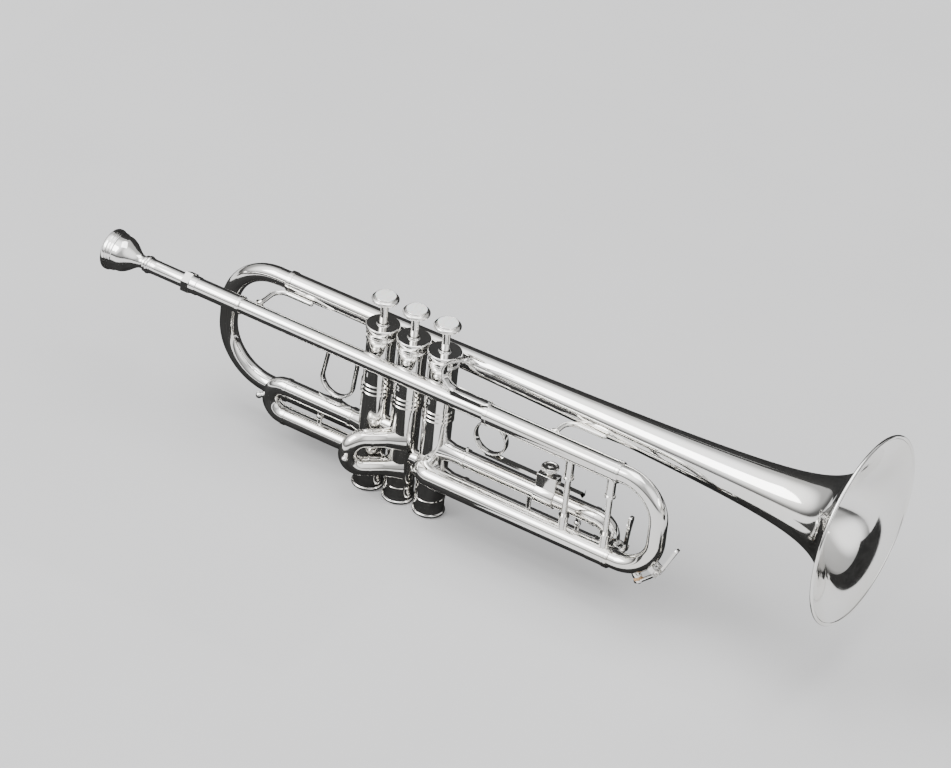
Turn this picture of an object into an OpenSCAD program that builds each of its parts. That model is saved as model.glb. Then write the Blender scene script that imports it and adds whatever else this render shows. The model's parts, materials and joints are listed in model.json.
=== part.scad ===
// Three-valve B flat trumpet, closed slides, valves up.
// Frame: the origin is on the middle valve's axis at the underside of its bottom cap.
// +X points out of the bell, +Y to the player's left, +Z up along the valves.

/* [Valves] */
// Distance between neighbouring valve axes
valve_pitch = 22.9; // [22.6:0.1:24]
// Outer radius of a valve casing
casing_r = 9.5; // [9.3:0.05:9.6]
// Radius of the casing's bore
casing_bore_r = 8.45; // [8.3:0.01:8.5]
// Height of the casing's top edge
casing_top_z = 117; // [116:0.5:118]
// How far a finger button travels
valve_stroke = 15; // [12:0.5:15]
// Height of a finger button's top when the valve is up
button_top_z = 142.9; // [142.9:0.1:146]
// Outer radius of a finger button
button_r = 8.8; // [8:0.1:9.5]
// Outer radius of a top cap
top_cap_r = 10.95; // [10.6:0.05:11.05]
// Outer radius of a bottom cap
bottom_cap_r = 10.6; // [10.4:0.05:10.8]

/* [Bell] */
// Outer radius of the bell's rim
bell_rim_r = 61.9; // [55:0.1:65]
// Place of the rim's plane along the instrument
bell_rim_x = 312; // [306:1:320]
// Distance of the bell's axis to the left of the valves
bell_y = 18.6; // [18.6:0.1:20]
// Height of the bell's axis
bell_z = 108.8; // [107:0.1:111]
// Thickness of the bell's metal
bell_wall = 0.6; // [0.5:0.1:0.8]
// Distance between the two legs of the bell bow
bow_height = 83.4; // [80:0.1:84]

/* [Leadpipe and tuning slide] */
// Distance of the leadpipe's axis to the right of the valves
lead_y = -16.5; // [-17.5:0.1:-16.5]
// Height of the leadpipe's axis
lead_z = 102.6; // [101:0.1:104]
// Height of the tuning slide's lower leg
low_leg_z = 38.4; // [37:0.1:40]
// Outer radius of the upper fixed slide sleeve
main_sleeve_r = 6.8; // [6.7:0.05:7]
// Radius of the bend at each corner of the tuning slide
main_corner_r = 25.5; // [22:0.5:30]

/* [Valve slides] */
// Outer radius of the valve slides' sleeves
slide_sleeve_r = 5.9; // [5.8:0.05:6]
// Distance between the two legs of a valve slide
slide_leg_gap = 21.5; // [21:0.1:22]
// Direction of the second slide, in degrees from -X towards the right side
second_slide_angle = 40; // [35:1:50]

/* [Mouthpiece] */
// Outer radius of the mouthpiece's rim
mouthpiece_rim_r = 13.6; // [13:0.1:14]
// Place of the rim along the instrument
mouthpiece_rim_x = -217.5; // [-219:0.5:-216]

/* [Hidden] */
$fn = 48;

silver = "gainsboro";
steel = "lightsteelblue";
eps = 0.01;
tube_wall = 0.5;
run_gap = 0.05;

// Valve block heights
casing_foot_z = 4;
cap_floor = 1.5;
cap_skirt_z = 11;
piston_foot_z = 19.5;
piston_head_z = 70;
barrel_top_z = 117.3;
barrel_r = 8.3;
barrel_bore_r = 7.2;
barrel_lid = 2.8;
guide_z = 80;
guide_h = 3;
guide_w = 2.8;
guide_reach = 9.05;
stem_r = 2.5;
stem_thread_r = 2;
cap_hole_r = 2.9;
cap_plate_z = 119.5;
cap_face_z = 121.8;
cap_hub_z = 122.6;
button_foot_z = button_top_z - 5.1;
port_r = 4.9;

// Valve slide heights
first_top_z = 43.8;
second_top_z = 46.8;
third_top_z = 50.2;
link_z = [50, 34];

// Slide tube radii
inner_tube_r = slide_sleeve_r - 0.5;
sleeve_bore_r = inner_tube_r + run_gap;
main_leg_r = main_sleeve_r - 0.55;
main_bore_r = main_leg_r + run_gap;
low_sleeve_r = main_sleeve_r - 0.15;
crook_r = 5.9;
crook_bore_r = crook_r - tube_wall;
bend_r = slide_leg_gap / 2;
leadpipe_front_r = 5.5;
leadpipe_rear_r = 5;

// Places along the instrument
receiver_x = -159.4;
receiver_front_x = -116;
sleeve_x = 67;
sleeve_end_x = 148;
ferrule_end_x = 163.3;
main_bend_x = 167;
fixed_brace_x = 127.6;
moving_brace_x = 157.5;
bell_length = 412;
bell_tail_x = bell_rim_x - bell_length;
bow_corner_r = 35.7;
bow_corner_x = -111.7;
bow_low_z = bell_z - bow_height;
first_mouth_x = -37.3;
first_end_x = -87.5;
third_mouth_x = 45.5;
third_end_x = 141;
second_end = 21.5;
second_start = 10.5;
crook_lead = 1.2;
main_key_angle = -62;
third_key_angle = -65;
second_offset = 3;

function valve_x(i) = (i - 2) * valve_pitch;

// Outer radius of the bell at a distance back from the rim
bell_tail_r = 6.4;
bell_taper = 10;
bell_flare_length = 24;
bell_flare = bell_rim_r - bell_tail_r - bell_taper;
function bell_outer(back) =
    bell_tail_r + bell_taper * pow(1 - back / bell_length, 2)
        + bell_flare / pow(1 + back / bell_flare_length, 2);
function bell_slope(back) =
    -2 * bell_taper / bell_length * (1 - back / bell_length)
    - 2 * bell_flare / bell_flare_length / pow(1 + back / bell_flare_length, 3);
bell_steps = 44;
function bell_station(k) = bell_length * pow(k / bell_steps, 2.4);
// Point k of the bell's outline as [radius, distance back], moved inwards by depth
function bell_point(k, depth = 0) =
    let (back = bell_station(k), slope = bell_slope(back), run = sqrt(1 + slope * slope))
    [bell_outer(back) - depth / run, back + bell_wall + depth * slope / run];

// ---- general shapes ----

// A tube or rod along X
module tube_x(x0, x1, r_out, r_in = 0) {
    translate([x0, 0, 0]) rotate([0, 90, 0]) difference() {
        cylinder(h = x1 - x0, r = r_out);
        if (r_in > 0) translate([0, 0, -1]) cylinder(h = x1 - x0 + 2, r = r_in);
    }
}

// A ring around X
module ring_x(x, r_out, r_in, width) {
    tube_x(x - width / 2, x + width / 2, r_out, r_in);
}

// A bend in the XZ plane about the given centre, angles from +X towards +Z
module bend_xz(centre, r_bend, r_out, r_in, from, sweep) {
    translate(centre) rotate([90, 0, 0]) rotate([0, 0, from])
        rotate_extrude(angle = sweep) translate([r_bend, 0]) difference() {
            circle(r = r_out);
            if (r_in > 0) circle(r = r_in);
        }
}

// A vertical post between two tubes, with a socket and end ring on each tube
module slide_post(x, z_low, z_high, low_socket, high_socket) {
    post_rod_r = 1.9;
    socket_r = 2.9;
    ring_r = 3.5;
    ring_h = 1.4;
    translate([x, lead_y, 0]) {
        translate([0, 0, z_low]) cylinder(h = z_high - z_low, r = post_rod_r);
        translate([0, 0, z_low]) cylinder(h = low_socket, r = socket_r);
        translate([0, 0, z_low + low_socket]) cylinder(h = ring_h, r = ring_r);
        translate([0, 0, z_high - high_socket]) cylinder(h = high_socket, r = socket_r);
        translate([0, 0, z_high - high_socket - ring_h]) cylinder(h = ring_h, r = ring_r);
    }
}

// The outside of the bell as a solid body of revolution
module bell_envelope() {
    translate([bell_rim_x, bell_y, bell_z]) rotate([0, -90, 0]) rotate_extrude($fn = 96)
        polygon(concat(
            [[0, bell_wall]],
            [for (k = [0 : bell_steps]) bell_point(k)],
            [[0, bell_length + bell_wall]]));
}

// A coil spring standing on z = 0
module coil(radius, wire_r, turns, height, sides = 6, steps = 16) {
    rings = turns * steps;
    rise = height - 2 * wire_r;
    points = [for (k = [0 : rings], s = [0 : sides - 1])
        let (a = 360 * k / steps, b = 360 * s / sides, r = radius + wire_r * cos(b))
        [r * cos(a), r * sin(a), wire_r + rise * k / rings + wire_r * sin(b)]];
    walls = [for (k = [0 : rings - 1], s = [0 : sides - 1])
        let (a = k * sides + s, b = k * sides + (s + 1) % sides)
        [a, a + sides, b + sides, b]];
    polyhedron(points, concat([[for (s = [0 : sides - 1]) s]], walls,
        [[for (s = [sides - 1 : -1 : 0]) rings * sides + s]]));
}

// ---- valves ----

module valve_casing(i) {
    color(silver) translate([valve_x(i), 0, 0]) difference() {
        union() {
            translate([0, 0, casing_foot_z]) cylinder(h = casing_top_z - casing_foot_z, r = casing_r);
            for (z = [71.2, 74.3, 77.4]) translate([0, 0, z]) cylinder(h = 1.9, r = casing_r + 0.75);
            translate([0, 0, cap_skirt_z]) cylinder(h = 1.2, r = casing_r + 0.4);
            translate([0, 0, 111.2]) cylinder(h = 1.8, r = casing_r + 0.5);
        }
        translate([0, 0, casing_foot_z - 1]) cylinder(h = casing_top_z, r = casing_bore_r);
        translate([-guide_reach, -guide_w / 2, guide_z]) cube([2 * guide_reach, guide_w, casing_top_z]);
        casing_ports(i);
    }
}

// Wind ports through the casing's wall, in the casing's own frame
module casing_ports(i) {
    if (i == 1) {
        for (z = [first_top_z, first_top_z - slide_leg_gap]) port(z, 180);
        port(bow_low_z, 90);
        port(link_z[0], 0);
    }
    if (i == 2) {
        for (z = [second_top_z, second_top_z - slide_leg_gap]) rotate([0, 0, 180 + second_slide_angle])
            translate([0, second_offset, z]) rotate([0, 90, 0]) cylinder(h = 20, r = port_r - 0.5);
        port(link_z[0], 180);
        port(link_z[1], 0);
    }
    if (i == 3) {
        for (z = [third_top_z, third_top_z - slide_leg_gap]) port(z, 0);
        port(low_leg_z, -90);
        port(link_z[1], 180);
    }
}

module port(z, turn) {
    rotate([0, 0, turn]) translate([0, 0, z]) rotate([0, 90, 0]) cylinder(h = 20, r = port_r);
}

module piston(i) {
    shell_r = casing_bore_r - run_gap;
    passage_z = [29, 47, 60];
    color(steel) translate([valve_x(i), 0, 0]) difference() {
        union() {
            difference() {
                translate([0, 0, piston_foot_z]) cylinder(h = piston_head_z - piston_foot_z, r = shell_r);
                translate([0, 0, piston_foot_z + 2])
                    cylinder(h = piston_head_z - piston_foot_z - 4, r = shell_r - 0.8);
            }
            intersection() {
                translate([0, 0, piston_foot_z]) cylinder(h = piston_head_z - piston_foot_z, r = shell_r);
                for (k = [0 : 2]) translate([-20, 0, passage_z[k]]) rotate([0, 90, 0])
                    cylinder(h = 40, r = port_r + 0.5);
            }
            translate([0, 0, piston_head_z]) cylinder(h = barrel_top_z - piston_head_z, r = barrel_r);
        }
        for (k = [0 : 2]) translate([-20, 0, passage_z[k]]) rotate([0, 90, 0]) cylinder(h = 40, r = port_r);
        translate([0, 0, piston_head_z + 2])
            cylinder(h = barrel_top_z - barrel_lid - piston_head_z - 2, r = barrel_bore_r);
        translate([0, 0, barrel_top_z - barrel_lid - 1]) cylinder(h = barrel_lid + 2, r = stem_thread_r);
        translate([-12, -guide_w / 2 - 0.4, guide_z - 0.5])
            cube([24, guide_w + 0.8, guide_h + 1 + valve_stroke]);
    }
}

module valve_guides() {
    color("ivory") for (i = [1 : 3]) translate([valve_x(i), 0, guide_z]) {
        cylinder(h = guide_h, r = 6.6);
        translate([-guide_reach, -guide_w / 2, 0]) cube([2 * guide_reach, guide_w, guide_h]);
    }
}

module valve_spring(i) {
    low = guide_z + guide_h;
    color("silver") translate([valve_x(i), 0, low])
        coil(5.6, 0.45, 8, barrel_top_z - barrel_lid - low);
}

module valve_stem(i) {
    thread_top_z = button_top_z - 2;
    color(steel) translate([valve_x(i), 0, 0]) {
        translate([0, 0, barrel_top_z - barrel_lid]) cylinder(h = barrel_lid + eps, r = stem_thread_r);
        translate([0, 0, barrel_top_z]) cylinder(h = button_foot_z - barrel_top_z, r = stem_r);
        translate([0, 0, button_foot_z - eps])
            cylinder(h = thread_top_z - button_foot_z + eps, r = stem_thread_r);
    }
}

// A mushroom-shaped button: rounded flange, groove and raised pearl disc
module finger_button(i) {
    pearl_r = 7.1;
    edge_r = 1.45;
    edge_z = 0.9 + edge_r;
    thread_depth = 3.1;
    color("white") translate([valve_x(i), 0, button_foot_z]) rotate_extrude($fn = 64) difference() {
        union() {
            square([3.4, 2]);
            translate([0, 0.9]) square([button_r - edge_r, 2 * edge_r]);
            translate([button_r - edge_r, edge_z]) circle(r = edge_r);
            translate([0, 3.5]) square([pearl_r, 1.6]);
        }
        translate([-1, -1]) square([stem_thread_r + 1, thread_depth + 1]);
        translate([-20, -20]) square([20, 40]);
    }
}

module top_caps() {
    color(silver) for (i = [1 : 3]) translate([valve_x(i), 0, 0]) rotate_extrude($fn = 64) difference() {
        polygon([
            [0, 113], [top_cap_r - 0.8, 113], [top_cap_r - 0.8, 115.4], [top_cap_r - 0.1, 116.2],
            [top_cap_r, 118.8], [top_cap_r - 0.4, 120.4], [top_cap_r - 0.9, cap_face_z],
            [4.3, cap_face_z], [4.3, cap_hub_z], [0, cap_hub_z]]);
        translate([-1, 112]) square([casing_r + 1, cap_plate_z - 112]);
        translate([-1, 112]) square([cap_hole_r + 1, 20]);
    }
}

module cap_felts() {
    color("dimgray") for (i = [1 : 3]) translate([valve_x(i), 0, 0]) difference() {
        translate([0, 0, barrel_top_z + 0.2]) cylinder(h = cap_plate_z - barrel_top_z - 0.2, r = 7.8);
        translate([0, 0, barrel_top_z]) cylinder(h = 5, r = 3.1);
    }
}

module bottom_caps() {
    vent_r = 0.9;
    color(silver) for (i = [1 : 3]) translate([valve_x(i), 0, 0]) difference() {
        rotate_extrude($fn = 64) difference() {
            polygon([
                [0, 0], [bottom_cap_r - 0.8, 0], [bottom_cap_r, 0.9], [bottom_cap_r, 2.1],
                [bottom_cap_r - 0.3, 2.7],
                [bottom_cap_r - 0.3, cap_skirt_z], [0, cap_skirt_z]]);
            translate([-1, casing_foot_z]) square([casing_r + 1, 20]);
            translate([-1, cap_floor]) square([casing_bore_r + 1, 20]);
        }
        for (turn = [0 : 120 : 240]) rotate([0, 0, turn]) translate([4, 0, -1])
            cylinder(h = 5, r = vent_r, $fn = 24);
    }
}

// Wind tubes and small struts that join the casings
module valve_links() {
    strut_r = 2;
    color(silver) difference() {
        for (k = [0 : 1]) translate([valve_x(k + 1), 0, 0]) {
            translate([0, 0, link_z[k]]) tube_x(0, valve_pitch, port_r + 0.6, port_r);
            for (z = [24, 92]) translate([0, 0, z]) tube_x(0, valve_pitch, strut_r);
        }
        for (i = [1 : 3]) translate([valve_x(i), 0, 0]) cylinder(h = casing_top_z, r = casing_r);
    }
}

// ---- leadpipe, mouthpiece and tuning slide ----

module on_lead_axis() {
    translate([0, lead_y, lead_z]) children();
}

shank_end_x = -131;
shank_end_r = 4.15;
shank_slope = 0.026;
function shank_r(x) = shank_end_r + (shank_end_x - x) * shank_slope;

// Turned mouthpiece: stepped rim, cup, bead and tapered shank
module mouthpiece() {
    rim = mouthpiece_rim_x;
    edge_r = 1.8;
    color(silver) on_lead_axis() rotate([0, 90, 0]) rotate_extrude($fn = 72) difference() {
        union() {
            polygon([
                [0, rim + 0.2], [mouthpiece_rim_r - edge_r, rim + 0.2], [mouthpiece_rim_r, rim + edge_r],
                [mouthpiece_rim_r, rim + 3.4],
                [12.3, rim + 4.2], [12.3, rim + 5.2], [12.9, rim + 5.8], [12.9, rim + 7], [11.8, rim + 8],
                [11.5, rim + 11], [10.4, rim + 14.5], [8.2, rim + 18], [5.6, rim + 21], [4.4, rim + 23.5],
                [4.2, rim + 26], [4.8, rim + 27.5], [5.9, rim + 28.6], [5.9, rim + 31.6], [5, rim + 33.5],
                [4.95, rim + 34.5], [shank_r(receiver_x), receiver_x], [shank_end_r, shank_end_x],
                [0, shank_end_x]]);
            translate([mouthpiece_rim_r - edge_r, rim + edge_r]) circle(r = edge_r);
        }
        polygon([
            [-1, rim - 1], [9.6, rim - 1], [8.3, rim + 1.4], [7.9, rim + 5], [6.4, rim + 9], [3.6, rim + 12],
            [1.9, rim + 14.5], [1.9, rim + 20], [3.5, shank_end_x + 1], [-1, shank_end_x + 1]]);
        translate([-40, rim - 10]) square([40, 200]);
    }
}

// Socket for the mouthpiece, with a six-sided collar at its mouth
module mouthpiece_receiver() {
    socket_r = 5.7;
    collar_r = 7.3;
    color(silver) on_lead_axis() rotate([0, 90, 0]) difference() {
        union() {
            translate([0, 0, receiver_x]) linear_extrude(5.4)
                polygon([for (turn = [0 : 60 : 300]) collar_r * [cos(turn), sin(turn)]]);
            rotate_extrude() polygon([
                [0, receiver_x + 1], [6.1, receiver_x + 1], [6.1, receiver_x + 9.9], [socket_r, receiver_x + 10.4],
                [socket_r, receiver_front_x - 3], [6.2, receiver_front_x - 2.5],
                [6.2, receiver_front_x - 0.5], [5.8, receiver_front_x], [0, receiver_front_x]]);
        }
        rotate_extrude() polygon([
            [0, receiver_x - 1], [shank_r(receiver_x - 1) + run_gap, receiver_x - 1],
            [shank_end_r + run_gap, shank_end_x], [shank_end_r + run_gap, shank_end_x + 1],
            [leadpipe_rear_r, shank_end_x + 1], [leadpipe_rear_r, receiver_front_x + 1],
            [0, receiver_front_x + 1]]);
    }
}

module leadpipe() {
    rear = shank_end_x + 1;
    length = sleeve_x + 3 - receiver_front_x;
    color(silver) on_lead_axis() difference() {
        union() {
            tube_x(rear, receiver_front_x + eps, leadpipe_rear_r);
            translate([receiver_front_x, 0, 0]) rotate([0, 90, 0])
                cylinder(h = length, r1 = leadpipe_rear_r, r2 = leadpipe_front_r);
        }
        translate([rear - 1, 0, 0]) rotate([0, 90, 0]) cylinder(h = length + 40, r1 = 4, r2 = 4.9);
    }
}

module upper_slide_sleeve() {
    color(silver) on_lead_axis() difference() {
        union() {
            tube_x(sleeve_x, sleeve_end_x, main_sleeve_r);
            ring_x(sleeve_x + 0.5, main_sleeve_r + 0.35, 0, 2.4);
        }
        translate([sleeve_x - 5, 0, 0]) rotate([0, 90, 0]) cylinder(h = 20, r = leadpipe_front_r);
        tube_x(sleeve_x + 3, sleeve_end_x + 1, main_bore_r);
    }
}

// Lower fixed sleeve with its elbow into the third valve casing
module lower_slide_sleeve() {
    elbow_r = 7.8;
    color(silver) difference() {
        union() {
            translate([0, lead_y, low_leg_z]) tube_x(valve_x(3) + elbow_r, sleeve_end_x, low_sleeve_r);
            translate([valve_x(3) + elbow_r, lead_y + elbow_r, low_leg_z]) rotate([0, 0, 180])
                rotate_extrude(angle = 90) translate([elbow_r, 0]) circle(r = low_sleeve_r);
            translate([valve_x(3), lead_y + elbow_r, low_leg_z]) rotate([-90, 0, 0])
                cylinder(h = 4, r = low_sleeve_r);
            translate([valve_x(3), 2.8 - casing_r, low_leg_z]) rotate([90, 0, 0])
                cylinder(h = 6.8, r1 = low_sleeve_r + 2.2, r2 = low_sleeve_r);
        }
        translate([0, lead_y, low_leg_z]) tube_x(sleeve_x, sleeve_end_x + 1, main_bore_r);
        translate([0, lead_y, low_leg_z]) tube_x(valve_x(3) + elbow_r, sleeve_x + 1, port_r + 0.4);
        translate([valve_x(3) + elbow_r, lead_y + elbow_r, low_leg_z]) rotate([0, 0, 180])
            rotate_extrude(angle = 90) translate([elbow_r, 0]) circle(r = port_r + 0.4);
        translate([valve_x(3), lead_y + elbow_r - eps, low_leg_z]) rotate([-90, 0, 0])
            cylinder(h = 10, r = port_r + 0.4);
        translate([valve_x(3), 0, 0]) cylinder(h = casing_top_z, r = casing_r);
    }
}

module sleeve_brace() {
    color(silver) difference() {
        slide_post(fixed_brace_x, low_leg_z + 3, lead_z - 3, 12, 16);
        on_lead_axis() tube_x(sleeve_x, sleeve_end_x, main_sleeve_r);
        translate([0, lead_y, low_leg_z]) tube_x(sleeve_x, sleeve_end_x, low_sleeve_r);
    }
}

module main_slide_legs() {
    leg_end_x = sleeve_x + 5;
    color(silver) for (z = [lead_z, low_leg_z]) translate([0, lead_y, z]) difference() {
        union() {
            tube_x(leg_end_x, sleeve_end_x + 2, main_leg_r);
            tube_x(sleeve_end_x + 0.2, ferrule_end_x, main_sleeve_r);
            ring_x(ferrule_end_x - 1, main_sleeve_r + 0.3, 0, 1);
            ring_x(ferrule_end_x - 3, main_sleeve_r + 0.3, 0, 1);
        }
        tube_x(leg_end_x - 1, ferrule_end_x, main_leg_r - tube_wall);
        tube_x(sleeve_end_x + 3, ferrule_end_x + 1, crook_r);
    }
}

module main_slide_crook() {
    color(silver) difference() {
        main_crook_tube();
        on_main_bend() drain_hole(main_key_angle, main_key_surface);
    }
}

module main_crook_tube() {
    length = lead_z - low_leg_z - 2 * main_corner_r;
    for (z = [lead_z, low_leg_z]) translate([0, lead_y, z])
        tube_x(sleeve_end_x + 3, main_bend_x, crook_r, crook_bore_r);
    bend_xz([main_bend_x, lead_y, lead_z - main_corner_r], main_corner_r, crook_r, crook_bore_r, 0, 90);
    bend_xz([main_bend_x, lead_y, low_leg_z + main_corner_r], main_corner_r, crook_r, crook_bore_r, 270, 90);
    translate([main_bend_x + main_corner_r, lead_y, low_leg_z + main_corner_r]) difference() {
        cylinder(h = length, r = crook_r);
        translate([0, 0, -1]) cylinder(h = length + 2, r = crook_bore_r);
    }
}

module main_slide_brace() {
    color(silver) difference() {
        slide_post(moving_brace_x, low_leg_z + 3, lead_z - 3, 12, 16);
        for (z = [lead_z, low_leg_z]) translate([0, lead_y, z])
            tube_x(sleeve_end_x, ferrule_end_x, main_sleeve_r);
    }
}

// ---- water keys ----
// Each key is drawn on a bend: its own frame has the bend's centre at the origin and the
// bend in the XZ plane, and angles are measured from +X towards +Z.

key_width = 5;
key_barrel_width = 3.2;
key_pin_r = 1;
nipple_h = 2.6;
cork_h = 1.9;

module at_angle(angle, radius) {
    rotate([0, -angle, 0]) translate([radius, 0, 0]) children();
}

module drain_hole(angle, surface_r) {
    at_angle(angle, surface_r - 3) rotate([0, 90, 0]) cylinder(h = 10, r = 1.6);
}

// Nipple over the drain hole and two ears for the pivot screw
module key_saddle(surface_r, nipple_angle, pivot_angle, pivot_r) {
    ear_t = 1.2;
    ear_y = key_width / 2 + 0.25;
    ear_h = pivot_r - surface_r + 2.8;
    difference() {
        union() {
            at_angle(nipple_angle, surface_r - 1) rotate([0, 90, 0]) cylinder(h = nipple_h + 1, r = 2.9);
            at_angle(pivot_angle, surface_r - 1) {
                for (y = [-ear_y - ear_t, ear_y]) translate([0, y, -2]) cube([ear_h, ear_t, 4]);
                translate([0, -ear_y - ear_t, -2]) cube([1.8, 2 * (ear_y + ear_t), 4]);
            }
        }
        drain_hole(nipple_angle, surface_r);
        at_angle(pivot_angle, pivot_r) rotate([90, 0, 0]) cylinder(h = 20, r = key_pin_r, center = true);
        children();
    }
}

// Rocking lever: cork cup over the nipple, barrel on the pivot and a finger plate
module key_lever(surface_r, nipple_angle, pivot_angle, pivot_r, tip_angle, tip_r) {
    cup_r = surface_r + nipple_h + cork_h;
    arm_r = 1.3;
    barrel_r = 2;
    difference() {
        union() {
            at_angle(nipple_angle, cup_r) rotate([0, 90, 0]) cylinder(h = 1.6, r = 3.1);
            at_angle(pivot_angle, pivot_r) rotate([90, 0, 0])
                cylinder(h = key_barrel_width, r = barrel_r, center = true);
            key_arm(polar_xz(nipple_angle, cup_r + 1.6), polar_xz(pivot_angle, pivot_r + 1)) {
                cylinder(h = $reach, r = arm_r);
                sphere(r = arm_r + 0.4);
            }
            key_arm(polar_xz(pivot_angle, pivot_r + 1), polar_xz(tip_angle, tip_r)) {
                rotate([90, 0, 90]) linear_extrude(1.9, center = true) polygon([
                    [-1.3, -1], [1.3, -1], [1.5, $reach * 0.55], [2.7, $reach - 3], [2.2, $reach - 0.6],
                    [1.2, $reach], [-1.2, $reach], [-2.2, $reach - 0.6], [-2.7, $reach - 3],
                    [-1.5, $reach * 0.55]]);
            }
        }
        at_angle(pivot_angle, pivot_r) rotate([90, 0, 0])
            cylinder(h = 20, r = key_pin_r + run_gap, center = true);
        at_angle(nipple_angle, cup_r - 4) rotate([0, 90, 0]) cylinder(h = 4, r = 3.3);
    }
}

function polar_xz(angle, radius) = [radius * cos(angle), 0, radius * sin(angle)];

// Children are drawn with Z running from one point to the other; $reach is the distance
module key_arm(from, to) {
    $reach = norm(to - from);
    translate(from) rotate([0, atan2(to[0] - from[0], to[2] - from[2]), 0]) children();
}

module key_cork(surface_r, nipple_angle) {
    at_angle(nipple_angle, surface_r + nipple_h) rotate([0, 90, 0]) cylinder(h = cork_h, r = 2.7);
}

// Pivot screw with its slotted head
module key_screw(pivot_angle, pivot_r) {
    length = key_width + 2.9;
    at_angle(pivot_angle, pivot_r) rotate([90, 0, 0]) difference() {
        union() {
            translate([0, 0, -length / 2]) cylinder(h = length, r = key_pin_r);
            translate([0, 0, length / 2]) cylinder(h = 0.9, r = 1.7);
        }
        translate([-3, -0.25, length / 2 + 0.5]) cube([6, 0.5, 2]);
    }
}

// Return spring: a coil on each side of the lever's barrel, with a leg to the saddle
module key_spring(pivot_angle, pivot_r, surface_r) {
    wire_r = 0.38;
    coil_r = 1.55;
    at_angle(pivot_angle, pivot_r) for (y = [-2.1, 2.1]) translate([0, y, 0]) rotate([90, 0, 0]) {
        rotate_extrude() translate([coil_r, 0]) circle(r = wire_r, $fn = 36);
        translate([0, coil_r, 0]) rotate([0, -90, 0])
            cylinder(h = pivot_r - surface_r - 1.8, r = wire_r - 0.06, $fn = 36);
    }
}

// Place of the tuning slide's water key
main_key_surface = main_corner_r + crook_r;
main_key_pivot = main_key_surface + 4.6;
module on_main_bend() {
    translate([main_bend_x, lead_y, low_leg_z + main_corner_r]) children();
}

module main_key_saddle() {
    color(silver) on_main_bend() key_saddle(main_key_surface, main_key_angle, -34, main_key_pivot)
        rotate([90, 0, 0]) rotate([0, 0, -90]) rotate_extrude(angle = 90)
            translate([main_corner_r, 0]) circle(r = crook_r);
}

module main_key_lever() {
    color(silver) on_main_bend()
        key_lever(main_key_surface, main_key_angle, -34, main_key_pivot, 2, main_key_surface + 9.5);
}

module main_key_cork() {
    color("peru") on_main_bend() key_cork(main_key_surface, main_key_angle);
}

module main_key_screw() {
    color(steel) on_main_bend() key_screw(-34, main_key_pivot);
}

module main_key_spring() {
    color(steel) on_main_bend() key_spring(-34, main_key_pivot, main_key_surface);
}

// Place of the third slide's water key
third_key_surface = bend_r + crook_r;
third_key_pivot = third_key_surface + 4.2;
module on_third_bend() {
    translate([third_end_x + crook_lead, 0, third_top_z - bend_r]) children();
}

module third_key_saddle() {
    color(silver) on_third_bend() key_saddle(third_key_surface, third_key_angle, -12, third_key_pivot)
        rotate([90, 0, 0]) rotate([0, 0, -90]) rotate_extrude(angle = 180)
            translate([bend_r, 0]) circle(r = crook_r);
}

module third_key_lever() {
    color(silver) on_third_bend() key_lever(third_key_surface, third_key_angle, -12, third_key_pivot, 43, 32);
}

module third_key_cork() {
    color("peru") on_third_bend() key_cork(third_key_surface, third_key_angle);
}

module third_key_screw() {
    color(steel) on_third_bend() key_screw(-12, third_key_pivot);
}

module third_key_spring() {
    color(steel) on_third_bend() key_spring(-12, third_key_pivot, third_key_surface);
}

// ---- bell side ----

// The bell's wall from one station of its outline to another, with any children on its outline
module bell_wall_part(from, to) {
    color(silver) translate([bell_rim_x, bell_y, bell_z]) rotate([0, -90, 0]) rotate_extrude($fn = 96) {
        polygon(concat(
            [for (k = [from : to]) bell_point(k)],
            [for (k = [to : -1 : from]) bell_point(k, bell_wall)]));
        children();
    }
}

bell_throat_step = 18;
bell_stem_step = 27;

module bell_flare() {
    rim_bead_r = 1.15;
    bell_wall_part(0, bell_throat_step)
        translate([bell_rim_r - rim_bead_r, rim_bead_r]) circle(r = rim_bead_r, $fn = 32);
}

module bell_throat() {
    bell_wall_part(bell_throat_step, bell_stem_step);
}

module bell_stem() {
    bell_wall_part(bell_stem_step, bell_steps);
}

module bell_bow() {
    bow_side = bow_height - 2 * bow_corner_r;
    color(silver) {
        translate([0, bell_y, bell_z]) {
            tube_x(bow_corner_x, bell_tail_x + 3, crook_r - 0.1, crook_bore_r);
            tube_x(bell_tail_x - 3.6, bell_tail_x - bell_wall - 0.1, crook_r + 1.1, crook_bore_r);
        }
        translate([0, bell_y, bow_low_z]) tube_x(bow_corner_x, bell_tail_x, crook_r, crook_bore_r);
        bend_xz([bow_corner_x, bell_y, bell_z - bow_corner_r], bow_corner_r, crook_r, crook_bore_r, 90, 90);
        bend_xz([bow_corner_x, bell_y, bow_low_z + bow_corner_r], bow_corner_r, crook_r,
            crook_bore_r, 180, 90);
        translate([bow_corner_x - bow_corner_r, bell_y, bow_low_z + bow_corner_r]) difference() {
            cylinder(h = bow_side, r = crook_r);
            translate([0, 0, -1]) cylinder(h = bow_side + 2, r = crook_bore_r);
        }
    }
}

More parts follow.
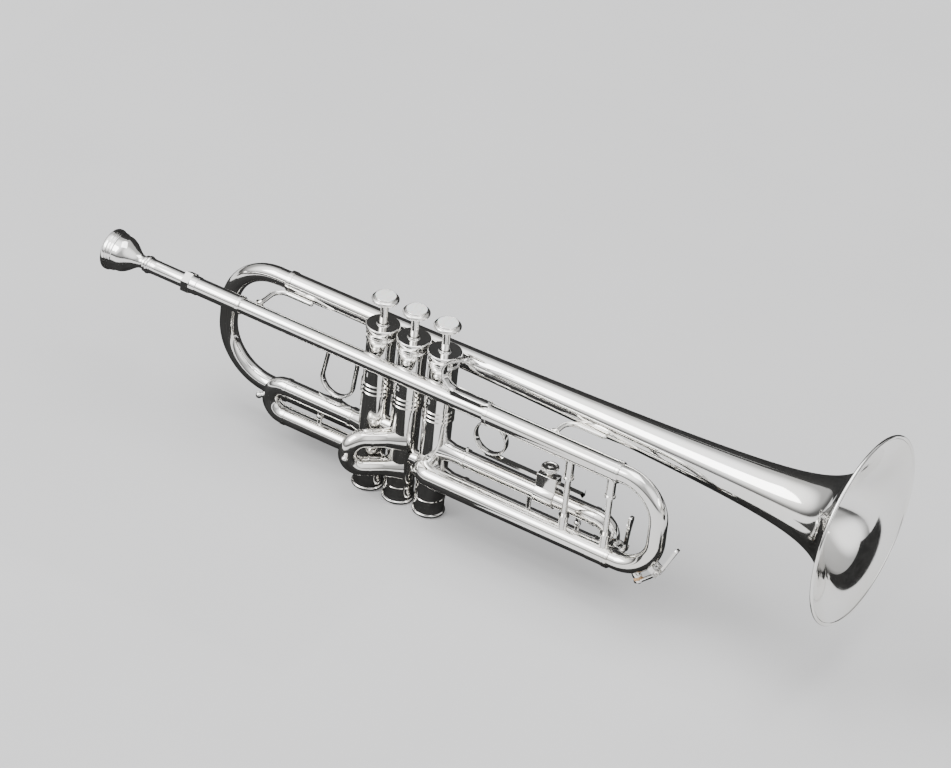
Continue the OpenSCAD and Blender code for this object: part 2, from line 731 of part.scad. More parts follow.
// Tube from the bow into the first valve casing, with its elbow
module bell_return_tube() {
    elbow_r = 8.2;
    elbow_x = valve_x(1) - elbow_r;
    color(silver) difference() {
        union() {
            translate([0, bell_y, bow_low_z]) {
                tube_x(bell_tail_x, elbow_x, crook_r);
                ring_x(bell_tail_x, crook_r + 0.7, 0, 4);
            }
            translate([elbow_x, bell_y - elbow_r, bow_low_z])
                rotate_extrude(angle = 90) translate([elbow_r, 0]) circle(r = crook_r);
            translate([valve_x(1), bell_y - elbow_r, bow_low_z]) rotate([90, 0, 0])
                cylinder(h = 5, r = crook_r);
        }
        translate([0, bell_y, bow_low_z]) {
            tube_x(bell_tail_x - 5, bell_tail_x, crook_r);
            tube_x(bell_tail_x - 1, elbow_x, crook_bore_r);
        }
        translate([elbow_x, bell_y - elbow_r, bow_low_z])
            rotate_extrude(angle = 90) translate([elbow_r, 0]) circle(r = crook_bore_r);
        translate([valve_x(1), 0, 0]) cylinder(h = casing_top_z, r = casing_r);
    }
}

// A curved rod from a tube on the lead axis across to the bell, with a long diamond foot
module bell_brace(x, turn_y, foot_x, foot_length, foot_h, start_r, pipe_length) {
    rod_r = 1.6;
    turn_r = 8;
    rod_z = 105.3;
    plate = 0.9;
    near_r = bell_outer(bell_rim_x - foot_x);
    far_r = bell_outer(bell_rim_x - foot_x - foot_length);
    difference() {
        union() {
            translate([x, lead_y, rod_z]) rotate([-90, 0, 0]) cylinder(h = turn_y - lead_y, r = rod_r);
            translate([x + turn_r, turn_y, rod_z]) mirror([1, 0, 0])
                rotate_extrude(angle = 90) translate([turn_r, 0]) circle(r = rod_r);
            translate([0, turn_y + turn_r, rod_z]) tube_x(x + turn_r, foot_x + foot_length / 2, rod_r);
            translate([foot_x + foot_length / 2, turn_y + turn_r, rod_z]) sphere(r = rod_r);
            translate([x, lead_y + start_r, rod_z]) rotate([-90, 0, 0]) cylinder(h = 1.6, r1 = 3, r2 = rod_r);
            intersection() {
                translate([foot_x, bell_y, bell_z]) rotate([0, 90, 0])
                    cylinder(h = foot_length, r1 = near_r + plate, r2 = far_r + plate, $fn = 64);
                translate([foot_x, bell_y, rod_z]) rotate([90, 0, 0]) linear_extrude(40)
                    polygon([[0, 0], [foot_length * 0.32, foot_h], [foot_length * 0.5, foot_h],
                        [foot_length, 0], [foot_length * 0.5, -foot_h], [foot_length * 0.32, -foot_h]]);
            }
        }
        bell_envelope();
        on_lead_axis() tube_x(x - pipe_length, x + pipe_length, start_r);
    }
}

module rear_brace() {
    color(silver) bell_brace(-107, 1.6, -97, 30, 3.2, leadpipe_front_r, 9);
}

module front_brace() {
    color(silver) bell_brace(111, -2.2, 115, 44, 4, main_sleeve_r, 20);
}

// Flat strap bent in the XZ plane
module strap(width) {
    rotate([90, 0, 0]) linear_extrude(width, center = true) children();
}

module arm_2d(from, to, thick) {
    length = norm(to - from);
    translate(from) rotate(atan2(to[1] - from[1], to[0] - from[0]))
        translate([0, -thick / 2]) square([length, thick]);
}

module arc_2d(centre, r_mid, thick, from, to) {
    reach = 2 * r_mid;
    translate(centre) intersection() {
        difference() {
            circle(r = r_mid + thick / 2, $fn = 72);
            circle(r = r_mid - thick / 2, $fn = 72);
        }
        polygon(concat([[0, 0]],
            [for (k = [0 : 4]) let (a = from + (to - from) * k / 4) reach * [cos(a), sin(a)]]));
    }
}

module pinky_hook() {
    foot_front = 67;
    loop = [43.5, 120.2];
    loop_r = 10.4;
    thick = 1.9;
    foot_z = loop[1] - loop_r;
    arm_end = 122;
    arm = [10.5, 6.8];
    arm_start = loop + loop_r * [cos(arm_end), sin(arm_end)];
    color(silver) difference() {
        translate([0, lead_y, 0]) strap(6.4) {
            arc_2d(loop, loop_r, thick, arm_end, 270);
            arm_2d([loop[0] - 0.1, foot_z], [foot_front, foot_z], thick);
            arm_2d([loop[0] - 3, foot_z - 1.6], [foot_front - 4, foot_z - 1.6], 3);
            arm_2d(arm_start - 0.01 * arm, arm_start + arm, thick);
            translate(arm_start + arm) circle(r = thick / 2 + 0.3, $fn = 24);
            translate([foot_front, foot_z]) circle(r = thick / 2, $fn = 24);
        }
        on_lead_axis() tube_x(0, sleeve_x - 0.7, leadpipe_front_r);
        on_lead_axis() ring_x(sleeve_x + 0.5, main_sleeve_r + 0.35, 0, 2.4);
    }
}

// ---- first slide ----

// A wind tube from a casing's wall: flared knuckle at the casing and a plain end
module knuckle(length, collar_end) {
    flare_r = slide_sleeve_r + 1.6;
    cylinder(h = collar_end, r = slide_sleeve_r);
    cylinder(h = casing_r + 4.5, r1 = flare_r + 1.5, r2 = slide_sleeve_r);
    cylinder(h = length, r = inner_tube_r);
}

module fixed_pair(i, turn, top_z, length, collar_end) {
    difference() {
        translate([valve_x(i), 0, 0]) rotate([0, 0, turn]) for (z = [top_z, top_z - slide_leg_gap])
            translate([0, 0, z]) rotate([0, 90, 0]) difference() {
                knuckle(length, collar_end);
                translate([0, 0, -1]) cylinder(h = length + 2, r = inner_tube_r - tube_wall);
            }
        translate([valve_x(i), 0, 0]) cylinder(h = casing_top_z, r = casing_r);
    }
}

module first_slide_inner_tubes() {
    color(silver)
        fixed_pair(1, 180, first_top_z, valve_x(1) - first_end_x - 4, valve_x(1) - first_mouth_x - 0.3);
}

// Two sliding sleeves with bead rings, joined by a small post; x0 is the mouth
module sleeve_pair(x0, x1, top_z, post_x) {
    low = min(x0, x1);
    high = max(x0, x1);
    mouth = x0 + sign(x1 - x0) * 0.8;
    low_z = top_z - slide_leg_gap;
    difference() {
        union() {
            for (z = [top_z, low_z]) translate([0, 0, z]) {
                tube_x(low, high, slide_sleeve_r);
                ring_x(mouth, slide_sleeve_r + 0.55, 0, 1.6);
                ring_x(x1, slide_sleeve_r + 0.4, 0, 2 * crook_lead - 0.2);
            }
            translate([post_x, 0, low_z]) cylinder(h = slide_leg_gap, r = 1.5);
            translate([post_x, 0, low_z + slide_leg_gap / 2]) sphere(r = 2.3);
        }
        for (z = [top_z, low_z]) translate([0, 0, z]) {
            tube_x(low - 5, high + 5, sleeve_bore_r);
            if (x1 > x0) tube_x(high, high + 5, crook_r);
            if (x1 < x0) tube_x(low - 5, low, crook_r);
        }
    }
}

// Plain post between the two sleeves of a slide
module slide_strut(x, top_z) {
    difference() {
        translate([x, 0, top_z - slide_leg_gap]) cylinder(h = slide_leg_gap, r = 1.5);
        for (z = [top_z, top_z - slide_leg_gap]) translate([0, 0, z])
            tube_x(x - 5, x + 5, slide_sleeve_r - 0.2);
    }
}

// A U bend that closes two legs; turn 0 bulges towards +X
module u_crook(top_z, turn) {
    rotate([0, 0, turn]) translate([0, 0, top_z - bend_r]) {
        for (z = [-bend_r, bend_r]) translate([0, 0, z]) tube_x(0, crook_lead, crook_r, crook_bore_r);
        bend_xz([crook_lead, 0, 0], bend_r, crook_r, crook_bore_r, -90, 180);
    }
}

// Small round pull knob on the outside of a bend, turned sideways about Z by the given angle
module pull_knob(nose_x, turn) {
    stand = 2;
    difference() {
        translate([nose_x, 0, 0]) rotate([0, 0, turn]) translate([crook_r, 0, 0]) {
            rotate([0, 90, 0]) translate([0, 0, -1]) cylinder(h = stand, r = 1.6);
            translate([stand, 0, 0]) sphere(r = 2.2);
        }
        translate([nose_x - bend_r, 0, 0]) rotate([90, 0, 0]) rotate_extrude()
            translate([bend_r, 0]) circle(r = crook_bore_r);
    }
}

module first_slide_sleeves() {
    color(silver) sleeve_pair(first_mouth_x, first_end_x, first_top_z, -62.3);
}

module first_slide_crook() {
    color(silver) translate([first_end_x, 0, 0]) {
        u_crook(first_top_z, 180);
        translate([0, 0, first_top_z - bend_r]) rotate([0, 0, 180]) pull_knob(bend_r + crook_lead, 42);
    }
}

module thumb_saddle() {
    loop = [-51.5, 66];
    loop_r = 11.5;
    thick = 1.4;
    top_z = 87;
    foot = 49;
    foot_skin = 0.8;
    left_end = [loop[0] - loop_r, loop[1]];
    right_end = [loop[0] + loop_r, loop[1]];
    color(silver) {
        strap(4.6) {
            arc_2d(loop, loop_r, thick, 180, 360);
            arm_2d(left_end + [0, -0.2], [left_end[0] + 3.4, top_z], thick);
            arm_2d(right_end + [0, -0.2], [right_end[0] + 2, top_z], thick);
            for (p = [[left_end[0] + 3.4, top_z], [right_end[0] + 2, top_z]])
                translate(p) circle(r = 0.95, $fn = 24);
        }
        difference() {
            union() {
                strap(3.4) polygon([
                    [loop[0] - 5, foot], [loop[0] + 5, foot], [loop[0] + 2.5, loop[1] - loop_r - 0.4],
                    [loop[0] - 2.5, loop[1] - loop_r - 0.4]]);
                intersection() {
                    translate([0, 0, first_top_z])
                        tube_x(loop[0] - 13, loop[0] + 11, slide_sleeve_r + foot_skin);
                    translate([loop[0], 0, first_top_z]) linear_extrude(20)
                        polygon([[-13, 0], [-3, 3.6], [3, 3.6], [11, 0], [3, -3.6], [-3, -3.6]]);
                }
            }
            translate([0, 0, first_top_z]) tube_x(loop[0] - 20, loop[0] + 20, slide_sleeve_r);
        }
    }
}

// ---- second slide ----

// Frame along the second slide: X points away from the middle valve
module on_second_slide() {
    rotate([0, 0, 180 + second_slide_angle]) translate([0, second_offset, 0]) children();
}

module second_slide_sleeves() {
    color(silver) difference() {
        on_second_slide() for (z = [second_top_z, second_top_z - slide_leg_gap]) translate([0, 0, z])
            rotate([0, 90, 0]) difference() {
                union() {
                    cylinder(h = second_end, r = slide_sleeve_r);
                    cylinder(h = casing_r + 3.5, r1 = slide_sleeve_r + 3, r2 = slide_sleeve_r);
                    translate([0, 0, second_end - 1.4]) cylinder(h = 1.4, r = slide_sleeve_r + 0.4);
                }
                translate([0, 0, -1]) cylinder(h = second_end + 2, r = port_r - 0.5);
                translate([0, 0, second_start]) cylinder(h = second_end, r = sleeve_bore_r);
            }
        cylinder(h = casing_top_z, r = casing_r);
    }
}

module second_slide_legs() {
    color(silver) on_second_slide() for (z = [second_top_z, second_top_z - slide_leg_gap])
        translate([0, 0, z])
            tube_x(second_start + 0.3, second_end + 3, inner_tube_r, inner_tube_r - tube_wall);
}

module second_slide_crook() {
    lead = 3;
    color(silver) on_second_slide() translate([second_end, 0, second_top_z - bend_r]) {
        for (z = [-bend_r, bend_r]) translate([0, 0, z]) tube_x(0, lead, crook_r, inner_tube_r);
        bend_xz([lead, 0, 0], bend_r, crook_r, crook_bore_r, -90, 180);
        pull_knob(bend_r + lead, 70);
    }
}

// ---- third slide ----

module third_slide_inner_tubes() {
    color(silver)
        fixed_pair(3, 0, third_top_z, third_end_x - valve_x(3) - 4, third_mouth_x - valve_x(3) - 0.3);
}

module third_slide_sleeves() {
    color(silver) {
        sleeve_pair(third_mouth_x, third_end_x, third_top_z, 129);
        slide_strut(93.5, third_top_z);
        translate([third_mouth_x + 0.8, 0, third_top_z + slide_sleeve_r + 0.3])
            cylinder(h = 2.2, r = 0.8, $fn = 24);
    }
}

module third_slide_crook() {
    color(silver) difference() {
        translate([third_end_x, 0, 0]) u_crook(third_top_z, 0);
        on_third_bend() drain_hole(third_key_angle, third_key_surface);
    }
}

rail_z = 60.2;
rail_h = 1.9;
rail_w = 4;
clamp_x = 98.5;
clamp_length = 14;

// Finger ring on its sliding rail, with a turned-up end as a stop
module finger_ring() {
    ring_r = 11.9;
    ring_bore_r = 10.3;
    ring_at = [62, rail_z + rail_h + ring_r - 0.6];
    rail_end = 131;
    color(silver) {
        strap(4.8) difference() {
            translate(ring_at) circle(r = ring_r, $fn = 72);
            translate(ring_at) circle(r = ring_bore_r, $fn = 72);
        }
        strap(rail_w) {
            arm_2d([60, rail_z + rail_h / 2], [rail_end, rail_z + rail_h / 2], rail_h);
            arm_2d([rail_end - 0.8, rail_z], [rail_end - 0.8, rail_z + 5], 1.6);
            polygon([[66, rail_z + rail_h], [71.5, rail_z + rail_h], [68.4, rail_z + rail_h + 2.2]]);
        }
    }
}

// Block that wraps the upper sleeve and holds the rail
module ring_clamp() {
    slot_gap = 0.15;
    block_w = 7.6;
    color(silver) difference() {
        union() {
            translate([0, 0, third_top_z]) tube_x(clamp_x, clamp_x + clamp_length, slide_sleeve_r + 1.1);
            translate([clamp_x, -block_w / 2, third_top_z]) cube([clamp_length, block_w, 15.6]);
        }
        translate([0, 0, third_top_z]) tube_x(clamp_x - 1, clamp_x + clamp_length + 1, slide_sleeve_r);
        translate([clamp_x - 1, -rail_w / 2 - slot_gap, rail_z - slot_gap])
            cube([clamp_length + 2, rail_w + 2 * slot_gap, rail_h + 2 * slot_gap]);
        translate([clamp_x + clamp_length / 2, 0, rail_z]) cylinder(h = 20, r = 1.65);
    }
}

module clamp_thumbscrew() {
    tip_z = rail_z + rail_h + 0.15;
    head_z = 69.4;
    color(silver) translate([clamp_x + clamp_length / 2, 0, 0]) {
        translate([0, 0, tip_z]) cylinder(h = head_z - tip_z + 1, r = 1.6);
        translate([0, 0, head_z - 2.9]) cylinder(h = 2.9, r = 2.6);
        translate([0, 0, head_z]) cylinder(h = 2.8, r = 5.8);
    }
}

for (i = [1 : 3]) {
    valve_casing(i);
    piston(i);
    valve_spring(i);
    valve_stem(i);
    finger_button(i);
}
top_caps();
bottom_caps();
valve_guides();
cap_felts();
valve_links();
mouthpiece();
mouthpiece_receiver();
leadpipe();
upper_slide_sleeve();
lower_slide_sleeve();
sleeve_brace();
bell_flare();
bell_throat();
bell_stem();
bell_bow();
bell_return_tube();
rear_brace();
front_brace();
pinky_hook();
main_slide_legs();
main_slide_crook();
main_slide_brace();
main_key_saddle();
main_key_lever();
main_key_cork();
main_key_spring();
main_key_screw();
first_slide_inner_tubes();
first_slide_sleeves();
first_slide_crook();
thumb_saddle();
second_slide_sleeves();
second_slide_legs();
second_slide_crook();
third_slide_inner_tubes();
third_slide_sleeves();
third_slide_crook();
finger_ring();
ring_clamp();
clamp_thumbscrew();
third_key_saddle();
third_key_lever();
third_key_cork();
third_key_spring();
third_key_screw();
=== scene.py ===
import bmesh
import bpy
import json
import math
from mathutils import Matrix, Vector


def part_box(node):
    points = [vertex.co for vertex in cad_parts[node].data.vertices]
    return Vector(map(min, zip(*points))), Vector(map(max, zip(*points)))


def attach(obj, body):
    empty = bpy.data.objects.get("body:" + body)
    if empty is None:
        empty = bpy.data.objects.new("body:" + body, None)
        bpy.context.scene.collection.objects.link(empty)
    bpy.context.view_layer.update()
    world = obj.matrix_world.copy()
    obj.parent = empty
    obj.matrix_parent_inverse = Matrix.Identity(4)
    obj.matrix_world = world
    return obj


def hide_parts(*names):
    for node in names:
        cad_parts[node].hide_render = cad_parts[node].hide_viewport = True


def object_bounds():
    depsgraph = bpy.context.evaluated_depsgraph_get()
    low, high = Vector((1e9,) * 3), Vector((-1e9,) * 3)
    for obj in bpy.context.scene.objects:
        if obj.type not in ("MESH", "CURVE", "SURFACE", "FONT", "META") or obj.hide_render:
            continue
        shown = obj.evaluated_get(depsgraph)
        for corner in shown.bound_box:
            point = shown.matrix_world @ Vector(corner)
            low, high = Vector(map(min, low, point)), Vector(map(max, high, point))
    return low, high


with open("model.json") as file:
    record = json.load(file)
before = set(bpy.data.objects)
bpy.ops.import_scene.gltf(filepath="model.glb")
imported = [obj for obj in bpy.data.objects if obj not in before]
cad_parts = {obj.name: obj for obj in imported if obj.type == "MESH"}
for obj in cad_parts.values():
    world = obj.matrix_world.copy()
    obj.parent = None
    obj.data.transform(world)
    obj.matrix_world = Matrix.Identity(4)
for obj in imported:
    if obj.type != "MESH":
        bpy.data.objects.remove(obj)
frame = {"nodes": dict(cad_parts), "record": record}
cad_lo, cad_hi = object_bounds()
MM = 0.001


# ---------- camera, floor and light ----------

def add_camera():
    """The photograph's view: a long lens from the front right, above the horn, leaning a little."""
    az, el, roll = math.radians(28.87), math.radians(34.43), math.radians(6.34)
    back = Vector((math.sin(az) * math.cos(el), -math.cos(az) * math.cos(el), math.sin(el)))
    right = Vector((math.cos(az), math.sin(az), 0.0))
    up = back.cross(right)
    tilted_right = right * math.cos(roll) + up * math.sin(roll)
    tilted_up = up * math.cos(roll) - right * math.sin(roll)
    cam = bpy.data.objects.new("camera", bpy.data.cameras.new("camera"))
    bpy.context.scene.collection.objects.link(cam)
    cam.data.sensor_width = 36.0
    cam.data.lens = 202.28
    cam.data.shift_x = -0.000557
    cam.data.shift_y = -0.012629
    cam.data.clip_start = 0.1
    cam.data.clip_end = 60.0
    rotation = Matrix((tilted_right, tilted_up, back)).transposed()
    target = Vector((0.0462, 0.0, 0.11598))
    distance = 3.28889
    place = target + back * distance
    cam.matrix_world = Matrix.Translation(place) @ rotation.to_4x4()
    bpy.context.scene.camera = cam


def add_area(name, place, target, size_x, size_y, watts):
    light = bpy.data.lights.new(name, "AREA")
    light.shape = "RECTANGLE"
    light.size = size_x
    light.size_y = size_y
    light.energy = watts
    lamp = bpy.data.objects.new(name, light)
    bpy.context.scene.collection.objects.link(lamp)
    lamp.location = place
    lamp.rotation_mode = "QUATERNION"
    lamp.rotation_quaternion = (Vector(target) - Vector(place)).to_track_quat("-Z", "Y")


def lobe(nt, vector, direction, outer, inner, strength):
    """A soft bright patch of sky: angles from its middle in degrees."""
    dot = nt.nodes.new("ShaderNodeVectorMath")
    dot.operation = "DOT_PRODUCT"
    dot.inputs[1].default_value = Vector(direction).normalized()
    nt.links.new(vector, dot.inputs[0])
    fade = nt.nodes.new("ShaderNodeMapRange")
    fade.interpolation_type = "SMOOTHSTEP"
    fade.inputs["From Min"].default_value = math.cos(math.radians(outer))
    fade.inputs["From Max"].default_value = math.cos(math.radians(inner))
    fade.inputs["To Max"].default_value = strength
    nt.links.new(dot.outputs["Value"], fade.inputs["Value"])
    return fade.outputs["Result"]


def add_world():
    """Soft white studio: pale walls, a dim band at the horizon and two broad soft lights."""
    world = bpy.data.worlds.new("studio")
    bpy.context.scene.world = world
    world.use_nodes = True
    nt = world.node_tree
    nt.nodes.clear()
    coord = nt.nodes.new("ShaderNodeTexCoord")
    split = nt.nodes.new("ShaderNodeSeparateXYZ")
    nt.links.new(coord.outputs["Generated"], split.inputs[0])
    walls = levels(nt, split.outputs["Z"], 0.0, 1.0, -0.2, 1.0)
    grey = [(0.0, 0.75), (0.13, 0.75), (0.17, 0.1), (0.24, 0.14), (0.36, 0.5), (0.7, 0.62), (1.0, 0.8)]
    shade = ramp(nt, walls, [(pos, (level,) * 3) for pos, level in grey])
    glow = lobe(nt, coord.outputs["Generated"], (-0.45, -0.45, 0.77), 52, 14, 1.9)
    side = lobe(nt, coord.outputs["Generated"], (0.85, -0.25, 0.55), 40, 8, 1.2)
    total = math_node(nt, "ADD", math_node(nt, "ADD", shade, glow), side)
    path = nt.nodes.new("ShaderNodeLightPath")
    backdrop = 0.85
    mix = nt.nodes.new("ShaderNodeMix")
    nt.links.new(path.outputs["Is Camera Ray"], mix.inputs[0])
    nt.links.new(total, mix.inputs[2])
    mix.inputs[3].default_value = backdrop
    bg = nt.nodes.new("ShaderNodeBackground")
    out = nt.nodes.new("ShaderNodeOutputWorld")
    nt.links.new(mix.outputs[0], bg.inputs["Color"])
    nt.links.new(bg.outputs[0], out.inputs[0])
    bg.inputs["Strength"].default_value = 1.05


def add_floor():
    half = 6.0
    corners = [(-half, -half, 0), (half, -half, 0), (half, half, 0), (-half, half, 0)]
    mesh = bpy.data.meshes.new("floor")
    mesh.from_pydata(corners, [], [(0, 1, 2, 3)])
    mesh.materials.append(floor_material())
    floor = bpy.data.objects.new("floor", mesh)
    bpy.context.scene.collection.objects.link(floor)
    floor.location = (0, 0, cad_lo.z)


def dark_card(name, corners):
    """A black card that only reflections see: it gives polished metal its dark lines."""
    mesh = bpy.data.meshes.new(name)
    mesh.from_pydata(corners, [], [(0, 1, 2, 3)])
    mesh.materials.append(CARD)
    card = bpy.data.objects.new(name, mesh)
    bpy.context.scene.collection.objects.link(card)
    card.visible_camera = False
    card.visible_diffuse = False
    card.visible_shadow = False


# ---------- materials ----------

def new_material(name):
    mat = bpy.data.materials.new(name)
    mat.use_nodes = True
    nt = mat.node_tree
    return mat, nt, nt.nodes["Principled BSDF"]


def noise(nt, scale, detail=3.0, stretch=(1, 1, 1), rough=0.5):
    coord = nt.nodes.new("ShaderNodeTexCoord")
    mapping = nt.nodes.new("ShaderNodeMapping")
    mapping.inputs["Scale"].default_value = stretch
    tex = nt.nodes.new("ShaderNodeTexNoise")
    tex.inputs["Scale"].default_value = scale
    tex.inputs["Detail"].default_value = detail
    tex.inputs["Roughness"].default_value = rough
    nt.links.new(coord.outputs["Object"], mapping.inputs[0])
    nt.links.new(mapping.outputs[0], tex.inputs["Vector"])
    return tex.outputs["Fac"]


def ramp(nt, source, stops):
    node = nt.nodes.new("ShaderNodeValToRGB")
    ends = node.color_ramp.elements
    ends[0].position, ends[0].color = stops[0][0], (*stops[0][1], 1)
    ends[1].position, ends[1].color = stops[-1][0], (*stops[-1][1], 1)
    for pos, colour in stops[1:-1]:
        ends.new(pos).color = (*colour, 1)
    nt.links.new(source, node.inputs["Fac"])
    return node.outputs["Color"]


def levels(nt, source, low, high, in_low=0.3, in_high=0.7):
    node = nt.nodes.new("ShaderNodeMapRange")
    node.inputs["From Min"].default_value = in_low
    node.inputs["From Max"].default_value = in_high
    node.inputs["To Min"].default_value = low
    node.inputs["To Max"].default_value = high
    nt.links.new(source, node.inputs["Value"])
    return node.outputs["Result"]


def math_node(nt, kind, a, b):
    node = nt.nodes.new("ShaderNodeMath")
    node.operation = kind
    for k, x in enumerate((a, b)):
        if isinstance(x, (int, float)):
            node.inputs[k].default_value = x
        else:
            nt.links.new(x, node.inputs[k])
    return node.outputs[0]


def bump(nt, bsdf, height, distance, strength=0.5):
    node = nt.nodes.new("ShaderNodeBump")
    node.inputs["Distance"].default_value = distance
    node.inputs["Strength"].default_value = strength
    nt.links.new(height, node.inputs["Height"])
    nt.links.new(node.outputs[0], bsdf.inputs["Normal"])


def silver_material(name, base, warm, rough, metallic):
    """Plate with a faint tarnish, patches of haze and fine polishing hairs along X."""
    mat, nt, bsdf = new_material(name)
    bsdf.inputs["Metallic"].default_value = metallic
    cloud = noise(nt, 22.0, 4.0)
    tint = ramp(nt, cloud, [(0.3, warm), (0.62, base), (1.0, base)])
    nt.links.new(tint, bsdf.inputs["Base Color"])
    haze = noise(nt, 60.0, 5.0, (1, 1, 1), 0.6)
    hairs = noise(nt, 900.0, 2.0, (0.15, 1, 1))
    streaks = math_node(nt, "ADD", math_node(nt, "MULTIPLY", hairs, 0.5), 0.75)
    mixed = math_node(nt, "MULTIPLY", haze, streaks)
    nt.links.new(levels(nt, mixed, rough[0], rough[1], 0.25, 0.75), bsdf.inputs["Roughness"])
    bump(nt, bsdf, hairs, 0.00001, 0.25)
    return mat


def alloy_material():
    mat, nt, bsdf = new_material("valve_alloy")
    bsdf.inputs["Metallic"].default_value = 1.0
    rings = noise(nt, 500.0, 3.0, (0.2, 0.2, 4.0))
    shades = [(0.25, (0.50, 0.49, 0.47)), (0.75, (0.70, 0.69, 0.66))]
    nt.links.new(ramp(nt, rings, shades), bsdf.inputs["Base Color"])
    nt.links.new(levels(nt, rings, 0.2, 0.38), bsdf.inputs["Roughness"])
    bump(nt, bsdf, rings, 0.00004, 0.4)
    return mat


def wire_material():
    mat, nt, bsdf = new_material("spring_steel")
    bsdf.inputs["Metallic"].default_value = 1.0
    spots = noise(nt, 350.0, 4.0)
    shades = [(0.3, (0.42, 0.41, 0.40)), (0.7, (0.72, 0.71, 0.68))]
    nt.links.new(ramp(nt, spots, shades), bsdf.inputs["Base Color"])
    nt.links.new(levels(nt, spots, 0.16, 0.34), bsdf.inputs["Roughness"])
    return mat


def pearl_material():
    mat, nt, bsdf = new_material("button_pearl")
    cloud = noise(nt, 140.0, 5.0, (1, 1, 2), 0.6)
    wave = nt.nodes.new("ShaderNodeTexWave")
    wave.inputs["Scale"].default_value = 60.0
    wave.inputs["Distortion"].default_value = 9.0
    wave.inputs["Detail"].default_value = 3.0
    coord = nt.nodes.new("ShaderNodeTexCoord")
    nt.links.new(coord.outputs["Object"], wave.inputs["Vector"])
    clouds = math_node(nt, "MULTIPLY", cloud, 0.6)
    waves = math_node(nt, "MULTIPLY", wave.outputs["Fac"], 0.4)
    mixed = math_node(nt, "ADD", clouds, waves)
    shades = [(0.2, (0.80, 0.80, 0.78)), (0.5, (0.90, 0.89, 0.87)), (0.8, (0.84, 0.86, 0.86))]
    nt.links.new(ramp(nt, mixed, shades), bsdf.inputs["Base Color"])
    nt.links.new(levels(nt, cloud, 0.12, 0.22), bsdf.inputs["Roughness"])
    bsdf.inputs["Coat Weight"].default_value = 0.6
    bsdf.inputs["Coat Roughness"].default_value = 0.05
    bsdf.inputs["Subsurface Weight"].default_value = 0.1
    bsdf.inputs["Subsurface Scale"].default_value = 0.001
    return mat


def cork_material():
    mat, nt, bsdf = new_material("cork")
    grain = noise(nt, 900.0, 6.0, (1, 1, 1), 0.7)
    cells = nt.nodes.new("ShaderNodeTexVoronoi")
    cells.inputs["Scale"].default_value = 1300.0
    coord = nt.nodes.new("ShaderNodeTexCoord")
    nt.links.new(coord.outputs["Object"], cells.inputs["Vector"])
    mixed = math_node(nt, "MULTIPLY", grain, math_node(nt, "ADD", cells.outputs["Distance"], 0.6))
    shades = [(0.2, (0.20, 0.10, 0.045)), (0.45, (0.52, 0.30, 0.15)), (0.8, (0.72, 0.49, 0.28))]
    nt.links.new(ramp(nt, mixed, shades), bsdf.inputs["Base Color"])
    bsdf.inputs["Roughness"].default_value = 0.85
    bump(nt, bsdf, mixed, 0.0003, 0.8)
    return mat


def felt_material():
    mat, nt, bsdf = new_material("felt")
    fibres = noise(nt, 1600.0, 6.0, (1, 1, 0.4), 0.75)
    shades = [(0.3, (0.03, 0.03, 0.035)), (0.7, (0.11, 0.11, 0.12))]
    nt.links.new(ramp(nt, fibres, shades), bsdf.inputs["Base Color"])
    bsdf.inputs["Roughness"].default_value = 0.95
    bsdf.inputs["Sheen Weight"].default_value = 0.3
    bump(nt, bsdf, fibres, 0.0003, 0.8)
    return mat


def plastic_material():
    mat, nt, bsdf = new_material("guide_plastic")
    grain = noise(nt, 700.0, 4.0)
    shades = [(0.3, (0.70, 0.67, 0.60)), (0.7, (0.80, 0.77, 0.70))]
    nt.links.new(ramp(nt, grain, shades), bsdf.inputs["Base Color"])
    nt.links.new(levels(nt, grain, 0.4, 0.6), bsdf.inputs["Roughness"])
    bump(nt, bsdf, grain, 0.00004, 0.3)
    return mat


def floor_material():
    mat, nt, bsdf = new_material("floor")
    grain = noise(nt, 6.0, 4.0)
    shades = [(0.3, (0.60, 0.60, 0.605)), (0.7, (0.62, 0.62, 0.625))]
    nt.links.new(ramp(nt, grain, shades), bsdf.inputs["Base Color"])
    bsdf.inputs["Roughness"].default_value = 0.7
    return mat


def card_material():
    mat, nt, bsdf = new_material("black_card")
    weave = noise(nt, 40.0, 4.0)
    shades = [(0.3, (0.012, 0.012, 0.012)), (0.7, (0.025, 0.025, 0.025))]
    nt.links.new(ramp(nt, weave, shades), bsdf.inputs["Base Color"])
    bsdf.inputs["Roughness"].default_value = 0.9
    bsdf.inputs["Specular IOR Level"].default_value = 0.1
    return mat


CARD = card_material()
MATS = {
    "silver_plate": silver_material(
        "silver_plate", (0.93, 0.925, 0.91), (0.86, 0.84, 0.80), (0.035, 0.11), 1.0),
    "valve_alloy": alloy_material(),
    "spring_steel": wire_material(),
    "button_pearl": pearl_material(),
    "cork": cork_material(),
    "felt": felt_material(),
    "guide_plastic": plastic_material(),
}
SILVER = MATS["silver_plate"]
ENGRAVED = silver_material("engraved_silver", (0.97, 0.965, 0.95), (0.93, 0.92, 0.9), (0.35, 0.55), 0.0)


# ---------- mesh helpers (millimetres in, metres out) ----------

def make_object(name, bm, mat, smooth=40.0):
    bm.normal_update()
    for face in bm.faces:
        face.smooth = True
    for edge in bm.edges:
        if len(edge.link_faces) == 2 and edge.calc_face_angle(0.0) > math.radians(smooth):
            edge.smooth = False
    mesh = bpy.data.meshes.new(name)
    bm.to_mesh(mesh)
    bm.free()
    mesh.materials.append(mat)
    obj = bpy.data.objects.new(name, mesh)
    bpy.context.scene.collection.objects.link(obj)
    return obj


def frame_along(direction):
    direction = Vector(direction).normalized()
    helper = Vector((0, 0, 1)) if abs(direction.z) < 0.9 else Vector((1, 0, 0))
    side = direction.cross(helper).normalized()
    return side, side.cross(direction).normalized()


